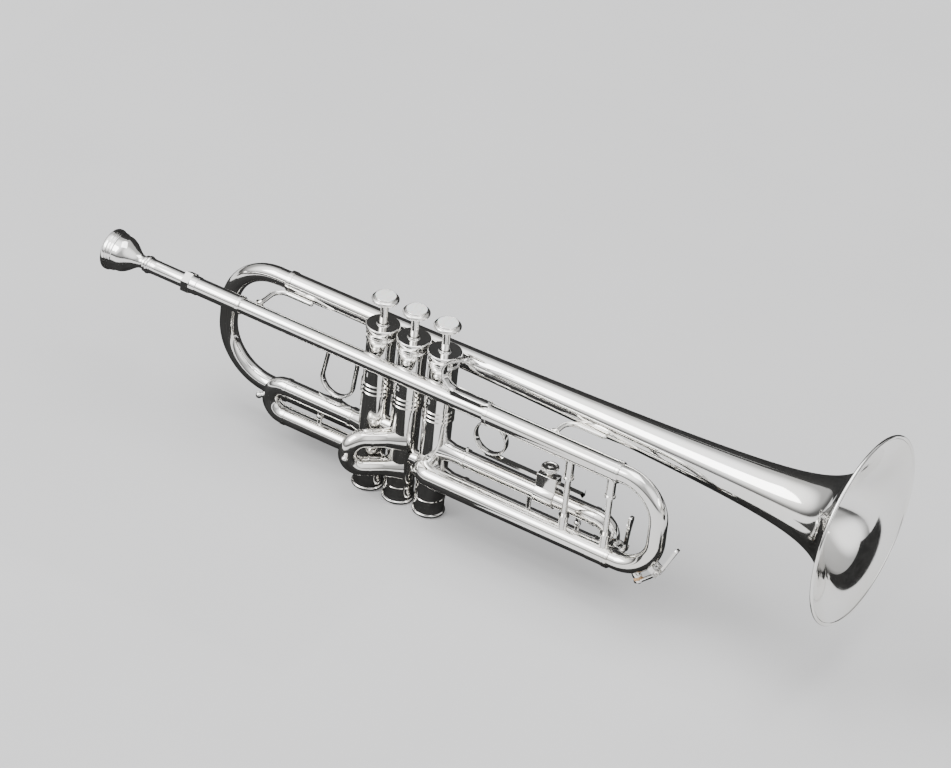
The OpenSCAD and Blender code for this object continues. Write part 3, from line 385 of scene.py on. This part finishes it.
def lathe(name, origin, direction, profile, mat, steps=128, closed=True, smooth=32.0):
    """Turns (distance along the axis, radius) points about an axis through origin."""
    direction = Vector(direction).normalized()
    u, v = frame_along(direction)
    bm = bmesh.new()
    rings = []
    for along, radius in profile:
        centre = Vector(origin) + direction * along
        if radius < 1e-6:
            rings.append([bm.verts.new(centre * MM)])
            continue
        ring = []
        for k in range(steps):
            a = 2 * math.pi * k / steps
            ring.append(bm.verts.new((centre + u * radius * math.cos(a) + v * radius * math.sin(a)) * MM))
        rings.append(ring)
    pairs = list(zip(rings, rings[1:]))
    if closed:
        pairs.append((rings[-1], rings[0]))
    for a, b in pairs:
        if len(a) == 1 and len(b) == 1:
            continue
        for k in range(steps):
            j = (k + 1) % steps
            if len(a) == 1:
                bm.faces.new((a[0], b[j], b[k]))
            elif len(b) == 1:
                bm.faces.new((a[k], a[j], b[0]))
            else:
                bm.faces.new((a[k], a[j], b[j], b[k]))
    bmesh.ops.recalc_face_normals(bm, faces=bm.faces)
    return make_object(name, bm, mat, smooth)


def circle_points(centre_along, centre_r, radius, start, end, count):
    """Points of an arc in the (along, radius) plane, angles from +radius towards +along, in degrees."""
    angles = [math.radians(start + (end - start) * k / count) for k in range(count + 1)]
    return [(centre_along + radius * math.sin(a), centre_r + radius * math.cos(a)) for a in angles]


def rounded(points, radius=0.25, count=4):
    """An open profile with its inner corners rounded off."""
    out = [points[0]]
    for before, here, after in zip(points, points[1:], points[2:]):
        a, b, c = Vector(before), Vector(here), Vector(after)
        first, second = (a - b), (c - b)
        cut = min(radius, first.length * 0.45, second.length * 0.45)
        start, end = b + first.normalized() * cut, b + second.normalized() * cut
        for k in range(count + 1):
            t = k / count
            out.append(tuple(start * (1 - t) ** 2 + b * 2 * t * (1 - t) + end * t * t))
    return out + [points[-1]]


def spline(points, per_span=6):
    """A smooth open curve through the points."""
    pts = [Vector(q) for q in points]
    pts = [pts[0] * 2 - pts[1]] + pts + [pts[-1] * 2 - pts[-2]]
    out = []
    for k in range(1, len(pts) - 2):
        p0, p1, p2, p3 = pts[k - 1:k + 3]
        for n in range(per_span):
            t = n / per_span
            out.append(0.5 * ((2 * p1) + (p2 - p0) * t + (2 * p0 - 5 * p1 + 4 * p2 - p3) * t * t
                              + (3 * p1 - 3 * p2 + p3 - p0) * t ** 3))
    return [tuple(q) for q in out] + [tuple(pts[-2])]


def knurl(name, origin, direction, r_out, r_in, low, high, teeth, depth, mat):
    """A ring with fine ribs, from low to high along the axis."""
    direction = Vector(direction).normalized()
    u, v = frame_along(direction)
    bm = bmesh.new()
    chamfer = min(depth * 1.2, (high - low) * 0.2)
    root = r_out - depth
    stations = [(low, root), (low + chamfer, r_out), (high - chamfer, r_out), (high, root)]
    rings = []
    for along, outer in stations:
        ring = []
        for k in range(teeth * 4):
            rise = (0.0, 1.0, 1.0, 0.0)[k % 4]
            radius = min(outer, r_out - depth * (1 - rise))
            a = 2 * math.pi * k / (teeth * 4)
            centre = Vector(origin) + direction * along
            ring.append(bm.verts.new((centre + (u * math.cos(a) + v * math.sin(a)) * radius) * MM))
        rings.append(ring)
    for along in (high, low):
        ring = []
        for k in range(teeth * 4):
            a = 2 * math.pi * k / (teeth * 4)
            centre = Vector(origin) + direction * along
            ring.append(bm.verts.new((centre + (u * math.cos(a) + v * math.sin(a)) * r_in) * MM))
        rings.append(ring)
    count = teeth * 4
    for a, b in zip(rings, rings[1:] + rings[:1]):
        for k in range(count):
            j = (k + 1) % count
            bm.faces.new((a[k], a[j], b[j], b[k]))
    bmesh.ops.recalc_face_normals(bm, faces=bm.faces)
    return make_object(name, bm, mat, 20.0)


def band(name, path, y, half_width, half_thick, mat, closed=False, crown=2.6, steps=28):
    """A bent strap in the XZ plane with a crowned section, half_width along Y."""
    bm = bmesh.new()
    rings = []
    count = len(path)
    for k, (x, z) in enumerate(path):
        before = path[(k - 1) % count] if closed or k else path[0]
        after = path[(k + 1) % count] if closed or k < count - 1 else path[-1]
        along = Vector((after[0] - before[0], 0, after[1] - before[1])).normalized()
        out = Vector((along.z, 0, -along.x))
        ring = []
        for j in range(steps):
            a = 2 * math.pi * j / steps
            ca, sa = math.cos(a), math.sin(a)
            wide = half_width * math.copysign(abs(ca) ** (2 / crown), ca)
            deep = half_thick * math.copysign(abs(sa) ** (2 / crown), sa)
            ring.append(bm.verts.new((Vector((x, y + wide, z)) + out * deep) * MM))
        rings.append(ring)
    pairs = list(zip(rings, rings[1:]))
    if closed:
        pairs.append((rings[-1], rings[0]))
    for a, b in pairs:
        for j in range(steps):
            m = (j + 1) % steps
            bm.faces.new((a[j], a[m], b[m], b[j]))
    if not closed:
        for ring, inner in ((rings[0], 1), (rings[-1], -2)):
            middle_point = sum((vert.co for vert in ring), Vector()) / steps
            step = middle_point - sum((vert.co for vert in rings[inner]), Vector()) / steps
            tip = bm.verts.new(middle_point + step.normalized() * half_thick * 0.9 * MM)
            lift = step.normalized() * half_thick * 0.6 * MM
            shoulder = [bm.verts.new(vert.co.lerp(middle_point, 0.35) + lift) for vert in ring]
            for j in range(steps):
                m = (j + 1) % steps
                bm.faces.new((ring[j], ring[m], shoulder[m], shoulder[j]))
                bm.faces.new((shoulder[j], shoulder[m], tip))
    bmesh.ops.recalc_face_normals(bm, faces=bm.faces)
    return make_object(name, bm, mat, 60.0)


def turn(centre, radius, start, end, count=36):
    """Points of an arc in the XZ plane, angles in degrees from +X towards +Z."""
    out = []
    for k in range(count + 1):
        a = math.radians(start + (end - start) * k / count)
        out.append((centre[0] + radius * math.cos(a), centre[1] + radius * math.sin(a)))
    return out


def straight(a, b, count=8):
    return [(a[0] + (b[0] - a[0]) * k / count, a[1] + (b[1] - a[1]) * k / count) for k in range(count + 1)]


def keep_part(name, node, keep):
    """A copy of a CAD node's mesh without the faces whose middle fails the test (millimetres)."""
    bm = bmesh.new()
    source = frame["nodes"][node]
    bm.from_mesh(source.data)
    bm.transform(source.matrix_world)
    bmesh.ops.remove_doubles(bm, verts=bm.verts, dist=0.000002)
    gone = [face for face in bm.faces if not keep(face.calc_center_median() / MM)]
    bmesh.ops.delete(bm, geom=gone, context="FACES")
    return make_object(name, bm, SILVER, 38.0)


def place_piece(obj, body, slot, *nodes):
    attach(obj, body)
    if nodes:
        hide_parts(*nodes)


def colour_cad():
    slots = {part["node"]: part["material_slot"] for part in frame["record"]["subparts"]}
    for name, obj in frame["nodes"].items():
        obj.data.materials.clear()
        obj.data.materials.append(MATS[slots[name]])


# ---------- detailed pieces (millimetres) ----------

CASING_R = 9.5


def middle(node):
    lo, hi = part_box(node)
    return (lo + hi) / 2 / MM


def replaced_once(node, i):
    """One node holds all three caps, so only the first new cap replaces it."""
    return (node,) if i == 1 else ()


def build_bell():
    lo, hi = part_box("bell_flare")
    axis = middle("bell_flare")
    rim_x = hi.x / MM
    rim_r = (hi.y - lo.y) / 2 / MM
    length = 412.0
    flare = rim_r - 16.4

    def radius(back):
        return 6.4 + 10 * (1 - back / length) ** 2 + flare / (1 + back / 24) ** 2

    def slope(back):
        return -20 / length * (1 - back / length) - 2 * flare / 24 / (1 + back / 24) ** 3

    def point(back, depth):
        run = math.sqrt(1 + slope(back) ** 2)
        return (back + 0.6 + depth * slope(back) / run, radius(back) - depth / run)

    stations = [0.62 + (length - 0.62) * (k / 110) ** 2.2 for k in range(111)]
    profile = [point(b, 0) for b in reversed(stations)]
    profile += circle_points(1.15, rim_r - 1.15, 1.15, 150, -210, 22)[1:-1]
    profile += [point(b, 0.6) for b in stations]
    bell = lathe("bell_skin", (rim_x, axis.y, axis.z), (-1, 0, 0), profile, SILVER, 192, True, 60)
    place_piece(bell, "horn", "silver_plate", "bell_flare", "bell_throat", "bell_stem")


def build_mouthpiece():
    lo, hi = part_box("mouthpiece")
    axis = middle("mouthpiece")
    rim_r = (hi.z - lo.z) / 2 / MM
    stepped = rounded([(3.4, rim_r), (3.5, 12.6), (4.4, 12.5), (4.5, 12.9), (5.3, 12.9), (5.4, 12.3),
                       (6.1, 12.2), (6.2, 12.6), (7.2, 12.6), (7.6, 11.9)], 0.18, 3)
    cup = spline([(7.6, 11.9), (9.5, 11.8), (12, 11.5), (15, 10.2), (18, 8.1), (21, 5.8),
                  (23.5, 4.5), (25.5, 4.25), (27.2, 4.8)], 7)
    bead = [(27.2, 4.8), (27.4, 5.3), (28.0, 5.3), (28.2, 4.9), (28.5, 5.0)]
    bead += circle_points(30, 4.4, 1.5, -80, 80, 12)
    bead += [(31.7, 4.9), (31.9, 5.2), (32.5, 5.2), (32.8, 4.9)]
    shank = [(34.5, 4.95), (37, 4.95), (37.2, 4.88), (58.1, 4.888), (86.5, 4.15), (86.5, 3.6)]
    bore = [(85.5, 3.5), (20, 1.9)] + spline([(14.5, 1.9), (12, 3.6), (9, 6.4), (5, 7.9), (1.9, 8.4)], 6)
    rim = spline([(1.9, 8.4), (0.9, 8.9), (0.15, 10.1), (0.0, 11.2), (0.35, 12.5), (1.2, 13.35),
                  (2.2, rim_r), (3.4, rim_r)], 6)
    profile = stepped + cup[1:] + bead[1:] + shank + bore + rim[1:-1]
    base = (lo.x / MM, axis.y, axis.z)
    piece = lathe("mouthpiece_turned", base, (1, 0, 0), profile, SILVER, 128, True, 30)
    place_piece(piece, "mouthpiece", "silver_plate", "mouthpiece")


def build_buttons():
    for i in (1, 2, 3):
        lo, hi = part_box("finger_button_%d" % i)
        axis = middle("finger_button_%d" % i)
        base = (axis.x, axis.y, lo.z / MM)
        top = (hi.z - lo.z) / MM
        outer = (hi.x - lo.x) / 2 / MM
        seat = [(0.0, 2.0), (0.0, 3.1)] + spline([(0.3, 3.35), (0.55, 4.2), (0.8, 5.8), (0.95, 7.2)], 5)
        seat += circle_points(2.35, outer - 1.45, 1.45, -70, 88, 16)
        seat += rounded([(3.75, 7.3), (3.6, 7.15), (top - 0.4, 7.1), (top - 0.05, 6.85), (top - 0.05, 6.5),
                         (top - 0.6, 6.5)], 0.14, 3)
        seat += [(top - 0.6, 2.0)]
        body = "valve_%d" % i
        seat_piece = lathe("button_seat_%d" % i, base, (0, 0, 1), seat, SILVER, 96, True, 35)
        place_piece(seat_piece, body, "silver_plate", "finger_button_%d" % i)
        disc = [(top - 0.6, 0.0), (top - 0.6, 6.48), (top - 0.12, 6.48)]
        disc += spline([(top - 0.06, 6.35), (top - 0.01, 5.6), (top, 3.0), (top, 0.0)], 5)
        pearl = lathe("button_pearl_%d" % i, base, (0, 0, 1), disc, MATS["button_pearl"], 96, False, 35)
        place_piece(pearl, body, "button_pearl")


def build_top_caps():
    lo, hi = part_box("top_caps")
    face = 8.8
    for i in (1, 2, 3):
        axis = middle("valve_casing_%d" % i)
        r = (hi.y - lo.y) / 2 / MM
        base = (axis.x, axis.y, lo.z / MM)
        outer = rounded([(0, r - 1.3), (0.3, r - 0.85), (0.8, r - 0.85), (0.9, r - 1.0), (2.3, r - 1.0),
                         (2.45, r - 0.8), (2.9, r - 0.8)], 0.15, 3)
        outer += spline([(3.1, r - 0.8), (4.2, r - 0.7), (5.6, r - 0.38), (7.0, r - 0.08), (7.8, r)], 5)
        outer += spline([(7.95, r), (8.35, r - 0.1), (8.62, r - 0.3), (face, r - 0.6)], 4)
        hub = [(face, 4.75), (face, 4.3), (9.5, 4.1), (9.6, 3.9), (9.6, 3.05), (9.4, 2.95)]
        outer += rounded(hub, 0.15, 3)
        inner = [(6.5, 2.9), (6.5, CASING_R), (0, CASING_R)]
        cap = lathe("top_cap_turned_%d" % i, base, (0, 0, 1), outer + inner, SILVER, 128, True, 28)
        ribs = knurl("top_cap_knurl_%d" % i, base, (0, 0, 1),
                     r - 0.82, r - 1.3, 0.95, 2.25, 96, 0.14, SILVER)
        place_piece(cap, "horn", "silver_plate", *replaced_once("top_caps", i))
        place_piece(ribs, "horn", "silver_plate")


def build_bottom_caps():
    lo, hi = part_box("bottom_caps")
    r = (hi.y - lo.y) / 2 / MM
    for i in (1, 2, 3):
        axis = middle("valve_casing_%d" % i)
        base = (axis.x, axis.y, lo.z / MM)
        outer = rounded([(0, 2.2), (0, r - 1.6), (0.25, r - 0.7), (1.0, r), (1.9, r), (2.3, r - 0.25),
                         (2.5, r - 0.85), (2.9, r - 0.85)], 0.3, 4)
        outer += spline([(3.0, r - 0.85), (5.5, r - 0.9), (8.5, r - 0.98), (10.3, r - 1.03),
                         (11, r - 1.06)], 4)
        inner = [(11, CASING_R), (4, CASING_R), (4, 8.45), (1.5, 8.45), (1.5, 2.2)]
        cap = lathe("bottom_cap_turned_%d" % i, base, (0, 0, 1), outer + inner, SILVER, 128, True, 28)
        place_piece(cap, "horn", "silver_plate", *replaced_once("bottom_caps", i))
        centre = [(0.35, 0.0), (0.35, 1.2), (0.05, 1.5), (0.05, 2.15), (1.4, 2.15), (1.4, 0.0)]
        plug = lathe("bottom_cap_vent_%d" % i, base, (0, 0, 1), centre, SILVER, 48, False, 28)
        place_piece(plug, "horn", "silver_plate")


def build_thumbscrew():
    lo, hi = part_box("clamp_thumbscrew")
    axis = middle("clamp_thumbscrew")
    r = (hi.x - lo.x) / 2 / MM
    base = (axis.x, axis.y, lo.z / MM)
    height = (hi.z - lo.z) / MM
    stem = rounded([(0, 0.0), (0, 1.3), (0.3, 1.6), (height - 5.7, 1.6), (height - 5.6, 2.4),
                    (height - 4.4, 2.6), (height - 3.6, 2.1), (height - 2.9, 2.5), (height - 2.75, r - 0.7),
                    (height - 2.3, r - 0.35)], 0.2, 3)
    head = rounded([(height - 0.5, r - 0.35), (height - 0.1, r - 0.8), (height - 0.1, r - 1.5),
                    (height - 0.45, r - 2.0), (height - 0.45, 1.6), (height, 1.2), (height, 0.0)], 0.2, 3)
    screw = lathe("thumbscrew_turned", base, (0, 0, 1), stem + head, SILVER, 96, False, 28)
    place_piece(screw, "thumbscrew", "silver_plate", "clamp_thumbscrew")
    ring = knurl("thumbscrew_knurl", base, (0, 0, 1),
                 r, r - 0.8, height - 2.35, height - 0.45, 44, 0.3, SILVER)
    place_piece(ring, "thumbscrew", "silver_plate")


def build_saddle():
    """The thumb saddle's strap as a crowned bend; its foot stays as cut from the CAD part."""
    loop, bend = (-51.5, 66.0), 11.5
    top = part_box("thumb_saddle")[1].z / MM - 0.95
    left, right = loop[0] - bend, loop[0] + bend
    path = straight((left + 3.4, top), (left + 0.25, loop[1] + 1.4), 12)[:-1]
    path += turn(loop, bend, 180, 360, 48)
    path += straight((right + 0.15, loop[1] + 1.4), (right + 2.0, top), 12)[1:]
    strap = band("saddle_strap", path, 0.0, 2.4, 1.1, SILVER, crown=2.15)
    place_piece(strap, "first_slide", "silver_plate", "thumb_saddle")

    def is_foot(point):
        return point.z < loop[1] - bend + 0.2 and abs(point.x - loop[0]) < 14

    place_piece(keep_part("saddle_foot", "thumb_saddle", is_foot), "first_slide", "silver_plate")


def build_ring():
    """The finger ring as a crowned hoop; the rail under it stays as cut from the CAD part."""
    centre = (62.0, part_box("finger_ring")[1].z / MM - 11.9)
    hoop = band("ring_hoop", turn(centre, 11.1, 0, 360, 72)[:-1], 0.0, 2.4, 0.8, SILVER, closed=True)
    place_piece(hoop, "third_ring", "silver_plate", "finger_ring")

    def is_rail(point):
        return point.z < centre[1] - 11.0

    place_piece(keep_part("ring_rail", "finger_ring", is_rail), "third_ring", "silver_plate")


def build_hook():
    """The little finger's hook as a crowned bend; its foot on the pipe stays as cut from the CAD part."""
    lo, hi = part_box("pinky_hook")
    y = (lo.y + hi.y) / 2 / MM
    loop, bend, arm_angle = (43.5, 120.2), 10.4, math.radians(122)
    start = (loop[0] + bend * math.cos(arm_angle), loop[1] + bend * math.sin(arm_angle))
    path = straight((start[0] + 10.5, start[1] + 6.8), start, 14)[:-1]
    path += turn(loop, bend, 122, 270, 48)
    path += straight((loop[0] + 0.5, loop[1] - bend), (hi.x / MM - 0.9, loop[1] - bend), 14)
    strap = band("hook_strap", path, y, 3.2, 1.05, SILVER, crown=2.3)
    place_piece(strap, "horn", "silver_plate", "pinky_hook")

    def is_foot(point):
        return point.z < loop[1] - bend + 0.3

    place_piece(keep_part("hook_foot", "pinky_hook", is_foot), "horn", "silver_plate")


def build_numerals():
    """The valve numbers, thin raised figures bent round the casings below the pipe, facing front left."""
    height = 86.5 * MM
    face_angle = math.radians(255)
    for i in (1, 2, 3):
        axis = middle("valve_casing_%d" % i)
        text = bpy.data.curves.new("numeral_%d" % i, "FONT")
        text.body = str(i)
        text.size = 4.4 * MM
        text.offset = 0.08 * MM
        text.align_x = "CENTER"
        text.align_y = "CENTER"
        text.extrude = 0.06 * MM
        holder = bpy.data.objects.new("numeral_text", text)
        bpy.context.scene.collection.objects.link(holder)
        bpy.context.view_layer.update()
        mesh = bpy.data.meshes.new_from_object(holder)
        bpy.data.objects.remove(holder)
        for vert in mesh.vertices:
            r = (CASING_R + 0.06) * MM + vert.co.z
            a = face_angle + vert.co.x / (CASING_R * MM)
            vert.co = (axis.x * MM + r * math.cos(a), axis.y * MM + r * math.sin(a), height + vert.co.y)
        mesh.materials.clear()
        mesh.materials.append(ENGRAVED)
        piece = bpy.data.objects.new("valve_numeral_%d" % i, mesh)
        bpy.context.scene.collection.objects.link(piece)
        place_piece(piece, "horn", "silver_plate")


def smooth_cad():
    """Shades the CAD parts smoothly and rounds the hard edges of the clamp and the water keys."""
    edges = {
        "ring_clamp": 0.4,
        "main_key_lever": 0.35, "third_key_lever": 0.35,
        "main_key_saddle": 0.3, "third_key_saddle": 0.3,
        "main_key_cork": 0.35, "third_key_cork": 0.35,
    }
    for name, obj in frame["nodes"].items():
        for face in obj.data.polygons:
            face.use_smooth = True
        weld = obj.modifiers.new("weld", "WELD")
        weld.merge_threshold = 0.000002
        if name in edges:
            soft = obj.modifiers.new("soft_edges", "BEVEL")
            soft.width = edges[name] * MM
            soft.segments = 3
            soft.limit_method = "ANGLE"
            soft.angle_limit = math.radians(40)
            soft.use_clamp_overlap = True
        split = obj.modifiers.new("hard_edges", "EDGE_SPLIT")
        split.split_angle = math.radians(38)


# ---------- the scene ----------

colour_cad()
smooth_cad()
build_bell()
build_mouthpiece()
build_buttons()
build_top_caps()
build_bottom_caps()
build_thumbscrew()
build_saddle()
build_ring()
build_hook()
build_numerals()

add_camera()
add_world()
add_floor()

# metres: two cards just above the floor, two rising behind the horn and one past the bell
low = cad_lo.z + 0.0006
dark_card("card_below", [(-0.5, -0.2, low), (0.045, -0.2, low), (0.045, 0.5, low), (-0.5, 0.5, low)])
dark_card("card_below_bell", [(0.045, -0.06, low), (0.3, -0.06, low), (0.3, 0.5, low), (0.045, 0.5, low)])
dark_card("card_behind", [(-0.9, 0.5, low), (0.45, 0.5, low), (0.45, 0.66, 0.62), (-0.9, 0.66, 0.62)])
dark_card("card_high", [(-0.95, 0.66, 0.62), (-0.2, 0.66, 0.62), (-0.2, 0.85, 1.15), (-0.95, 0.85, 1.15)])
dark_card("card_side", [(0.62, 0.05, low), (0.62, 0.9, low), (0.66, 0.9, 0.17), (0.66, 0.05, 0.17)])

aim = (0.05, 0, 0.08)
add_area("key", (-1.5, -1.7, 2.0), aim, 1.5, 1.5, 45)
add_area("top", (0.2, 0.1, 2.8), aim, 2.2, 1.6, 45)
